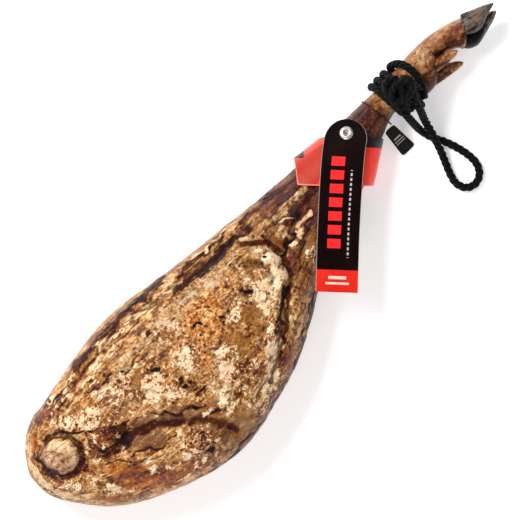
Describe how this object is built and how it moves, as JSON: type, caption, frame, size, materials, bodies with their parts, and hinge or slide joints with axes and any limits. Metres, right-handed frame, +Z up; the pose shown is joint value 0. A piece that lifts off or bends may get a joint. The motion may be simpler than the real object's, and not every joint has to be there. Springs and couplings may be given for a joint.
{
  "type": "cured ham",
  "caption": "Whole dry-cured leg of ham lying on its side, with hoof, ankle rope and knot, carrying loop, seal, card collar and hanging label.",
  "frame": {"origin": "under the middle of the ham, on the surface it lies on; the carrying loop is left out of that middle", "axes": "+X along the leg from the hip end to the hoof, +Y towards the shank's straight edge, +Z up through the shown face"},
  "size_m": [0.804, 0.2287, 0.1211],
  "materials": {
    "ham": "dry cured rind and lean, uneven, slightly greasy",
    "horn": "dark horn of the hoof, dull sheen",
    "dewclaw": "tan horn",
    "rope": "black twisted rope",
    "seal": "black moulded plastic",
    "collar": "coated red card with a black edge strip",
    "label": "coated black card with a red foot",
    "stud": "plated press stud"
  },
  "bodies": {
    "root": {"ham": "ham", "claw_near": "horn", "claw_far": "horn", "dewclaw_near": "dewclaw", "dewclaw_far": "dewclaw", "rope_wraps": "rope", "rope_knot": "rope", "rope_loop": "rope", "seal_cord": "seal", "seal_tag": "seal", "collar": "collar", "label_tag": "label", "label_stud": "stud"}
  },
  "joints": []
}
